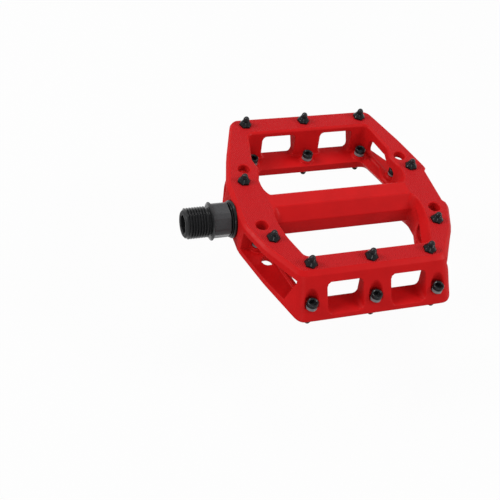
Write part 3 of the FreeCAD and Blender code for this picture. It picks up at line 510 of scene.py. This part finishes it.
def trimmed(radius, flats, turn):
    """How far a circle reaches at an angle, once a hexagon of that width has cut it."""
    if not flats:
        return radius
    past_middle = (turn + pi / 6) % (pi / 3) - pi / 6
    return min(radius, flats / 2 / cos(past_middle))


def turned(name, rings, segments=120, along="X", closed=False):
    """Joins rings into a skin. A ring is (place, radius) or (place, radius, across flats), in mm.
    A closed part comes back to its first ring, as a tube with a hole does."""
    turns = [2 * pi * i / segments for i in range(segments)]
    points, loops, faces = [], [], []
    for ring in rings:
        place, radius, flats = (*ring, 0)[:3]
        count = segments if radius else 1
        loops.append(list(range(len(points), len(points) + count)))
        for turn in turns[:count]:
            reach = trimmed(radius, flats, turn)
            across, high = reach * sin(turn), reach * cos(turn)
            spot = (place, across, high) if along == "X" else (high, across, place)
            points.append(tuple(v * MM for v in spot))
    for here, there in zip(loops, loops[1:] + loops[:1] if closed else loops[1:]):
        for i in range(segments):
            corners = [here[i % len(here)], here[(i + 1) % len(here)],
                       there[(i + 1) % len(there)], there[i % len(there)]]
            faces.append(list(dict.fromkeys(corners)))
    mesh = bpy.data.meshes.new(name)
    mesh.from_pydata(points, [], [f for f in faces if len(f) > 2])
    crease(mesh)
    return scene_object(name, mesh)


def merged(name, *pieces):
    """Several pieces as one mesh, which leaves no part of them behind."""
    work = bmesh.new()
    for piece in pieces:
        work.from_mesh(piece.data)
    mesh = bpy.data.meshes.new(name)
    work.to_mesh(mesh)
    work.free()
    for piece in pieces:
        bpy.data.objects.remove(piece)
    return scene_object(name, mesh)


def hand_over(piece, node, slot):
    """The piece takes its finish, rides the CAD node's body and stands for that node."""
    piece.data.materials.clear()
    piece.data.materials.append(finishes[slot])
    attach(piece, nodes[node]["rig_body"])
    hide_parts(node)
    print(piece.name, "stands for", node, "with", len(piece.data.polygons), "faces")


slots = {part["node"]: part["material_slot"] for part in frame["record"]["subparts"]}
print("shaping helpers ready;", len(slots), "nodes have a slot")

# %% [markdown]
# ## A kit for Geometry Nodes
# Screw threads and rows of fasteners follow rules, so they are grown by node trees. A tree is
# written once with named sizes, and each use gives it values. The result is then kept as a
# plain mesh, because only plain meshes travel well to other programs.

# %% Trees, their inputs and their harvest
SOCKETS = {float: "NodeSocketFloat", int: "NodeSocketInt", bool: "NodeSocketBool",
           "Object": "NodeSocketObject", "Material": "NodeSocketMaterial"}


def new_tree(name, **inputs):
    """An empty tree that takes geometry and the named inputs. An input's value is its type."""
    tree = bpy.data.node_groups.new(name, "GeometryNodeTree")
    tree.interface.new_socket("Geometry", in_out="INPUT", socket_type="NodeSocketGeometry")
    for label, kind in inputs.items():
        tree.interface.new_socket(label.replace("_", " "), in_out="INPUT", socket_type=SOCKETS[kind])
    tree.interface.new_socket("Geometry", in_out="OUTPUT", socket_type="NodeSocketGeometry")
    given = tree.nodes.new("NodeGroupInput")
    result = tree.nodes.new("NodeGroupOutput")
    return tree, given.outputs, result.inputs[0]


def add(tree, kind, inputs=(), **settings):
    item = tree.nodes.new(kind)
    for key, value in settings.items():
        setattr(item, key, value)
    for key, value in dict(inputs).items():
        if isinstance(value, bpy.types.NodeSocket):
            tree.links.new(value, item.inputs[key])
        else:
            item.inputs[key].default_value = value
    return item


def calculate(tree, how, *values):
    return add(tree, "ShaderNodeMath", dict(enumerate(values)), operation=how).outputs[0]


def finish_tree(tree, made, given, result):
    """The end of every tree: real geometry instead of instances, with its material."""
    solid = add(tree, "GeometryNodeRealizeInstances", {0: made.outputs[0]})
    painted = add(tree, "GeometryNodeSetMaterial", {"Geometry": solid.outputs[0],
                                                    "Material": given["Material"]})
    wires(tree, (painted.outputs[0], result))


def evaluated_mesh(item):
    """What an object's modifiers make of it, as a mesh of its own."""
    return bpy.data.meshes.new_from_object(item.evaluated_get(bpy.context.evaluated_depsgraph_get()))


def grow(name, tree, seeds=(), **inputs):
    """Runs a tree on a few points and keeps what it makes as a plain mesh."""
    mesh = bpy.data.meshes.new(name)
    mesh.from_pydata([tuple(seed) for seed in seeds], [], [])
    item = scene_object(name, mesh)
    modifier = item.modifiers.new("grow", "NODES")
    modifier.node_group = tree
    for socket in tree.interface.items_tree:
        label = socket.name.replace(" ", "_")
        if socket.in_out == "INPUT" and label in inputs:
            modifier[socket.identifier] = inputs[label]
    grown = evaluated_mesh(item)
    item.modifiers.remove(modifier)
    item.data = grown
    return item


print("node kit ready")

# %% [markdown]
# ## The screw-thread tree
# A thread is a ridge wound round a core. A spiral curve is its path, a trapezoid is the ridge's
# section, and sweeping one along the other gives the whole thread. The ridge's foot is sunk
# below the core so that no gap shows, and it shrinks away over part of a turn at each end, as a
# cut thread runs out. Both the crank thread and the studs use this tree.

# %% Grow a thread
def thread_tree():
    tree, given, result = new_tree("screw_thread", Core=float, Pitch=float, Turns=float, Height=float,
                                   Sink=float, Crest=float, Steps=int, Runout=float, Material="Material")
    spiral = add(tree, "GeometryNodeCurveSpiral", {
        "Resolution": given["Steps"], "Rotations": given["Turns"], "Start Radius": given["Core"],
        "End Radius": given["Core"],
        "Height": calculate(tree, "MULTIPLY", given["Pitch"], given["Turns"])})
    level = add(tree, "GeometryNodeSetCurveNormal", {"Curve": spiral.outputs[0]}, mode="Z_UP")
    along = add(tree, "GeometryNodeSplineParameter").outputs["Factor"]
    from_end = calculate(tree, "MINIMUM", along, calculate(tree, "SUBTRACT", 1.0, along))
    fade = calculate(tree, "MINIMUM", 1.0, calculate(
        tree, "DIVIDE", calculate(tree, "MULTIPLY", from_end, given["Turns"]), given["Runout"]))
    section = add(tree, "GeometryNodeCurvePrimitiveQuadrilateral", {
        "Bottom Width": calculate(tree, "MULTIPLY", given["Pitch"], 0.98), "Top Width": given["Crest"],
        "Height": calculate(tree, "ADD", given["Height"], given["Sink"]), "Offset": 0.0},
        mode="TRAPEZOID")
    outward = add(tree, "ShaderNodeCombineXYZ", {0: calculate(
        tree, "MULTIPLY", calculate(tree, "SUBTRACT", given["Height"], given["Sink"]), -0.5)})
    upright = add(tree, "GeometryNodeTransform", {
        "Geometry": section.outputs[0], "Translation": outward.outputs[0], "Rotation": (0, 0, pi / 2)})
    sweep = add(tree, "GeometryNodeCurveToMesh", {
        "Curve": level.outputs[0], "Profile Curve": upright.outputs[0],
        "Scale": calculate(tree, "MAXIMUM", fade, 0.05), "Fill Caps": True})
    finish_tree(tree, sweep, given, result)
    return tree


screw_thread = thread_tree()
print("thread tree:", len(screw_thread.nodes), "nodes")

# %% [markdown]
# ## The moulded platform
# CAD gives the platform crisp edges, but a moulding has none: plastic shrinks round every corner
# and the mould is polished. A bevel would have to find its way round hundreds of small faces.
# Wrapping the solid in an even skin of tiny squares is surer. The skin is relaxed a few times,
# which rounds each edge by about half a millimetre and leaves flat faces flat, and it is then
# thinned where it is flat.

# %% Wrap, relax and thin
SKIN, RELAXING, KEPT = 0.32 * MM, 3, 180000


def softened(node, name):
    """A moulded copy of a CAD node."""
    mesh = nodes[node].data.copy()
    crease(mesh)
    item = scene_object(name, mesh)
    wrap = item.modifiers.new("wrap", "REMESH")
    wrap.mode, wrap.voxel_size, wrap.use_smooth_shade = "VOXEL", SKIN, True
    relax = item.modifiers.new("relax", "SMOOTH")
    relax.factor, relax.iterations = 0.5, RELAXING
    dense = evaluated_mesh(item)
    item.modifiers.clear()
    item.data = dense
    thin = item.modifiers.new("thin", "DECIMATE")
    thin.ratio = min(1.0, KEPT / (2 * len(dense.polygons)))
    item.data = evaluated_mesh(item)
    item.modifiers.clear()
    print(name, len(dense.polygons), "squares thinned to", len(item.data.polygons), "faces")
    return item


platform = softened("pedal_body", "platform")
hand_over(platform, "pedal_body", slots["pedal_body"])

# %% [markdown]
# ## The spindle
# Seen from the crank arm the spindle is a thread, a thin sharp rim that stops against the arm,
# and a six-sided length for the spanner whose corners were turned down on the lathe. Behind the
# seal it runs on as a journal and a taper. One stack of rings draws all of it, the key's hole
# included, and the thread tree winds the ridge on its core.

# %% Turn the spindle and cut its thread
THREAD_ROOT, THREAD_CREST, THREAD_PITCH = 6.36, 7.14, 1.27
KEY_DEPTH, KEY_FLATS = 9, 8.0
UNCUT = 9                 # a radius beyond a small hexagon's corners, so that only its flats count
RIM, RIM_RADIUS = 1.3, 8.85
WRENCH_END, WRENCH_FLATS, WRENCH_CORNERS = 8.9, 15.0, 8.05
JOURNAL, JOURNAL_END, TAPER, TAPER_END = 6.0, 28, 4.7, 82
COLLAR, COLLAR_WIDTH, RACE_SEAT, TAIL = 4.85, 3.2, 3.96, 3.0

tip, tail = (side.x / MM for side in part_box("spindle"))
bearing = [side.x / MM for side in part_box("bearing_inner_race")]
collar = bearing[0] - COLLAR_WIDTH

shaft = turned("spindle_shaft", [
    (tip + KEY_DEPTH, 0), (tip + KEY_DEPTH, UNCUT, KEY_FLATS), (tip + 0.4, UNCUT, KEY_FLATS),
    (tip, UNCUT, KEY_FLATS + 0.8), (tip, 5.75), (tip + 0.25, 6.05), (tip + 0.6, THREAD_ROOT),
    (-0.3, THREAD_ROOT), (0, 6.75), (0, 7.6), (0.1, 7.72), (0.5, 8.7), (0.62, RIM_RADIUS),
    (0.74, RIM_RADIUS), (0.86, 8.7), (1.15, 8.25), (RIM, 8.1), (RIM, WRENCH_CORNERS, WRENCH_FLATS + 0.2),
    (RIM + 0.15, WRENCH_CORNERS, WRENCH_FLATS), (WRENCH_END - 0.3, WRENCH_CORNERS, WRENCH_FLATS),
    (WRENCH_END, 7.7, WRENCH_FLATS - 0.4), (WRENCH_END, JOURNAL), (JOURNAL_END, JOURNAL),
    (TAPER_END, TAPER), (collar, TAPER), (collar, COLLAR), (bearing[0], COLLAR),
    (bearing[0], RACE_SEAT), (bearing[1], RACE_SEAT), (bearing[1], TAIL), (tail - 0.4, TAIL),
    (tail, TAIL - 0.4), (tail, 0)])
ridge = grow("crank_thread", screw_thread, Core=THREAD_ROOT * MM, Pitch=THREAD_PITCH * MM,
             Turns=(-tip - 0.85) / THREAD_PITCH, Height=(THREAD_CREST - THREAD_ROOT) * MM,
             Sink=0.15 * MM, Crest=0.18 * MM, Steps=64, Runout=0.6, Material=finishes["black_steel"])
ridge.data.transform(Matrix.Translation(((tip + 0.45) * MM, 0, 0)) @ Matrix.Rotation(pi / 2, 4, "Y"))
crease(ridge.data)
spots = np.array([vertex.co for vertex in ridge.data.vertices]) / MM
print("thread reaches from", spots.min(0).round(2), "to", spots.max(0).round(2))
hand_over(merged("spindle_steel", shaft, ridge), "spindle", slots["spindle"])

# %% [markdown]
# ## The seal, the cap and the balls
# Three more turned shapes. The seal shows two fine ribs and a rolled lip against the red flank.
# The cap is a cup with a dished face and a six-sided hole, and it fills the outboard end. The
# thirteen balls are one ball placed at even steps round a circle by a node tree.

# %% Seal and cap
SEAL_INSIDE, SEAL_NECK, SEAL_SUNK = 6.15, 7.66, 1.5
CAP_FLOOR, CAP_INSIDE, CAP_SKIRT, CAP_HEAD = 2.8, 6.1, 7.4, 1.7
DISH_DEPTH, CAP_KEY_FLATS, CAP_KEY_DEPTH = 0.9, 6.0, 1.0

start, seal_end = (side.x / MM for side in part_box("axle_seal"))
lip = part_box("axle_seal")[1].z / MM
flank = seal_end - SEAL_SUNK
seal = turned("seal_ring", [
    (start, SEAL_INSIDE), (start, 8.05), (start + 0.08, 8.2), (start + 0.3, 8.22), (start + 0.4, 8.1),
    (start + 0.45, 7.75), (start + 0.62, 7.75), (start + 0.68, 8.2), (start + 0.8, 8.45),
    (start + 1.0, lip - 0.1), (start + 1.3, lip), (flank - 0.5, lip), (flank - 0.2, lip - 0.08),
    (flank - 0.02, lip - 0.3), (flank, SEAL_NECK), (seal_end, SEAL_NECK), (seal_end, SEAL_INSIDE)],
    closed=True)
hand_over(seal, "axle_seal", slots["axle_seal"])

cup, face = (side.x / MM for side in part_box("end_cap"))
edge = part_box("end_cap")[1].z / MM
dish = face - DISH_DEPTH
cap = turned("cap_disc", [
    (face - CAP_FLOOR, 0), (face - CAP_FLOOR, CAP_INSIDE), (cup, CAP_INSIDE), (cup, CAP_SKIRT),
    (face - CAP_HEAD, CAP_SKIRT), (face - CAP_HEAD, edge), (face - 0.35, edge),
    (face - 0.12, edge - 0.1), (face, edge - 0.35), (face, 6.0), (face - 0.06, 5.8),
    (face - 0.25, 5.3), (face - 0.75, 4.15), (dish, 3.85), (dish, 3.75),
    (dish, UNCUT, CAP_KEY_FLATS + 0.3), (face - 1.05, UNCUT, CAP_KEY_FLATS),
    (dish - CAP_KEY_DEPTH, UNCUT, CAP_KEY_FLATS), (dish - CAP_KEY_DEPTH, 0)])
hand_over(cap, "end_cap", slots["end_cap"])


# %% Balls round their circle
def ball_tree():
    tree, given, result = new_tree("ball_ring", Balls=int, Circle=float, Ball=float, Place=float,
                                   Material="Material")
    circle = add(tree, "GeometryNodeMeshCircle", {"Vertices": given["Balls"], "Radius": given["Circle"]})
    place = add(tree, "ShaderNodeCombineXYZ", {0: given["Place"]})
    upright = add(tree, "GeometryNodeTransform", {
        "Geometry": circle.outputs[0], "Translation": place.outputs[0], "Rotation": (pi / 2, 0, pi / 2)})
    ball = add(tree, "GeometryNodeMeshIcoSphere", {"Radius": given["Ball"], "Subdivisions": 4})
    ring = add(tree, "GeometryNodeInstanceOnPoints", {"Points": upright.outputs[0],
                                                      "Instance": ball.outputs[0]})
    finish_tree(tree, ring, given, result)
    return tree


BALLS, BALL_CIRCLE, BALL_RADIUS = 13, 5.48, 0.76

balls = grow("bearing_ball_ring", ball_tree(), Balls=BALLS, Circle=BALL_CIRCLE * MM,
             Ball=BALL_RADIUS * MM, Place=sum(bearing) / 2 * MM, Material=finishes["bearing_balls"])
crease(balls.data, 60)
hand_over(balls, "bearing_balls", slots["bearing_balls"])

# %% [markdown]
# ## Studs and nuts
# A stud is a small cap screw: a round head with a six-sided hole, a threaded shank and a bare
# tip. It is pushed out through the tread from below and held by a nut whose hexagon rises into
# a cone. Each is modelled once. A node tree then sets copies at the seats, turned by a random
# angle, because no two were tightened alike. The seats are read from the CAD nodes.

# %% One stud and one nut
STUD_LENGTH, STUD_RADIUS, HEAD_RADIUS, HEAD_HEIGHT = 10.27, 1.5, 2.6, 3.7
STUD_ROOT, STUD_PITCH, STUD_TURNS, THREAD_START = 1.22, 0.5, 17.0, 1.15
SOCKET_FLATS, SOCKET_DEPTH, GROOVE_RADIUS = 3.0, 1.85, 2.4
NUT_FLATS, NUT_HEIGHT, NUT_CROWN, NUT_FOOT, NUT_BORE = 5.5, 2.6, 1.75, 3.67, 1.53
NUT_RISES = (0.45, 0.6, 0.75, 0.9, 1.05, 1.2, 1.4, 1.7, 2.0, 2.3)

end = -HEAD_HEIGHT
stud_core = turned("stud_core", [
    (end + SOCKET_DEPTH, 0), (end + SOCKET_DEPTH, 3, SOCKET_FLATS), (end + 0.35, 3, SOCKET_FLATS),
    (end + 0.12, 1.95), (end, 2.1), (end + 0.03, 2.34), (end + 0.18, 2.52), (end + 0.4, HEAD_RADIUS),
    (end + 0.95, HEAD_RADIUS), (end + 1.02, GROOVE_RADIUS), (end + 1.25, GROOVE_RADIUS),
    (end + 1.32, HEAD_RADIUS), (-0.25, HEAD_RADIUS), (0, HEAD_RADIUS - 0.2), (0, STUD_RADIUS),
    (1.0, STUD_RADIUS), (1.2, STUD_ROOT), (STUD_LENGTH - 0.45, STUD_ROOT),
    (STUD_LENGTH - 0.1, STUD_ROOT - 0.28), (STUD_LENGTH, STUD_ROOT - 0.45), (STUD_LENGTH, 0)],
    segments=48, along="Z")
stud_ridge = grow("stud_ridge", screw_thread, Core=STUD_ROOT * MM, Pitch=STUD_PITCH * MM,
                  Turns=STUD_TURNS, Height=(STUD_RADIUS - STUD_ROOT) * MM, Sink=0.06 * MM,
                  Crest=0.1 * MM, Steps=24, Runout=0.7, Material=finishes["stud_steel"])
stud_ridge.data.transform(Matrix.Translation((0, 0, THREAD_START * MM)))
crease(stud_ridge.data, 25)
stud_pattern = merged("stud_pattern", stud_core, stud_ridge)


def cone_at(height):
    """The nut's slightly hollow cone, wide enough at its foot to leave the hexagon whole."""
    return NUT_CROWN + (NUT_FOOT - NUT_CROWN) * (1 - height / NUT_HEIGHT) ** 1.25


nut_pattern = turned(
    "nut_pattern",
    [(0.1, NUT_BORE), (0, 1.65), (0, 3.3, NUT_FLATS - 0.2), (0.1, 4, NUT_FLATS)]
    + [(rise, cone_at(rise), NUT_FLATS) for rise in NUT_RISES]
    + [(NUT_HEIGHT - 0.05, NUT_CROWN), (NUT_HEIGHT, NUT_CROWN - 0.08), (NUT_HEIGHT, 1.6),
       (NUT_HEIGHT - 0.1, NUT_BORE)],
    segments=72, along="Z", closed=True)
print("stud", len(stud_pattern.data.polygons), "faces, nut", len(nut_pattern.data.polygons))


# %% Set them at their seats
def row_tree():
    tree, given, result = new_tree("fastener_row", Pattern="Object", Upside_Down=bool, Seed=int,
                                   Material="Material")
    pattern = add(tree, "GeometryNodeObjectInfo", {"Object": given["Pattern"]})
    spread = add(tree, "FunctionNodeRandomValue", {2: 0.0, 3: 2 * pi, "Seed": given["Seed"]},
                 data_type="FLOAT")
    flip = calculate(tree, "MULTIPLY", given["Upside Down"], pi)
    turn = add(tree, "ShaderNodeCombineXYZ", {0: flip, 2: spread.outputs[1]})
    way = add(tree, "FunctionNodeEulerToRotation", {0: turn.outputs[0]})
    row = add(tree, "GeometryNodeInstanceOnPoints", {
        "Points": given["Geometry"], "Instance": pattern.outputs["Geometry"],
        "Rotation": way.outputs[0]})
    finish_tree(tree, row, given, result)
    return tree


APART = 9 * MM              # less than the gap between two studs, and more than a nut's width


def stations(node):
    """The middle, in plan, of each separate solid in a CAD node."""
    groups = []
    for vertex in nodes[node].data.vertices:
        near = next((g for g in groups if (g[0].xy - vertex.co.xy).length < APART), None)
        if near is None:
            groups.append([vertex.co])
        else:
            near.append(vertex.co)
    return [Vector(((min(c.x for c in g) + max(c.x for c in g)) / 2,
                    (min(c.y for c in g) + max(c.y for c in g)) / 2)) for g in groups]


fastener_row = row_tree()
for seed, node in enumerate(sorted(n for n in nodes if n.endswith(("_studs", "_nuts")))):
    up = node.startswith("top")
    low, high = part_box(node)
    if node.endswith("_studs"):
        pattern, seat = stud_pattern, (high.z if up else low.z) - (1 if up else -1) * STUD_LENGTH * MM
    else:
        pattern, seat = nut_pattern, low.z if up else high.z
    row = grow(node + "_row", fastener_row, [(s.x, s.y, seat) for s in stations(node)], Pattern=pattern,
               Upside_Down=not up, Seed=seed, Material=finishes[slots[node]])
    hand_over(row, node, slots[node])
for pattern in (stud_pattern, nut_pattern):
    bpy.data.objects.remove(pattern)

# %% [markdown]
# ## Finishes on the CAD nodes that stay
# The races, the cage, the shields, the bushing, the cap's sealing ring and the small hardware at
# the spindle's tail are right as CAD drew them, and they only need their finish.

# %% Finish the rest
for name, item in nodes.items():
    if not item.hide_render:
        item.data.materials.clear()
        item.data.materials.append(finishes[slots[name]])
        print(name, "wears", slots[name])
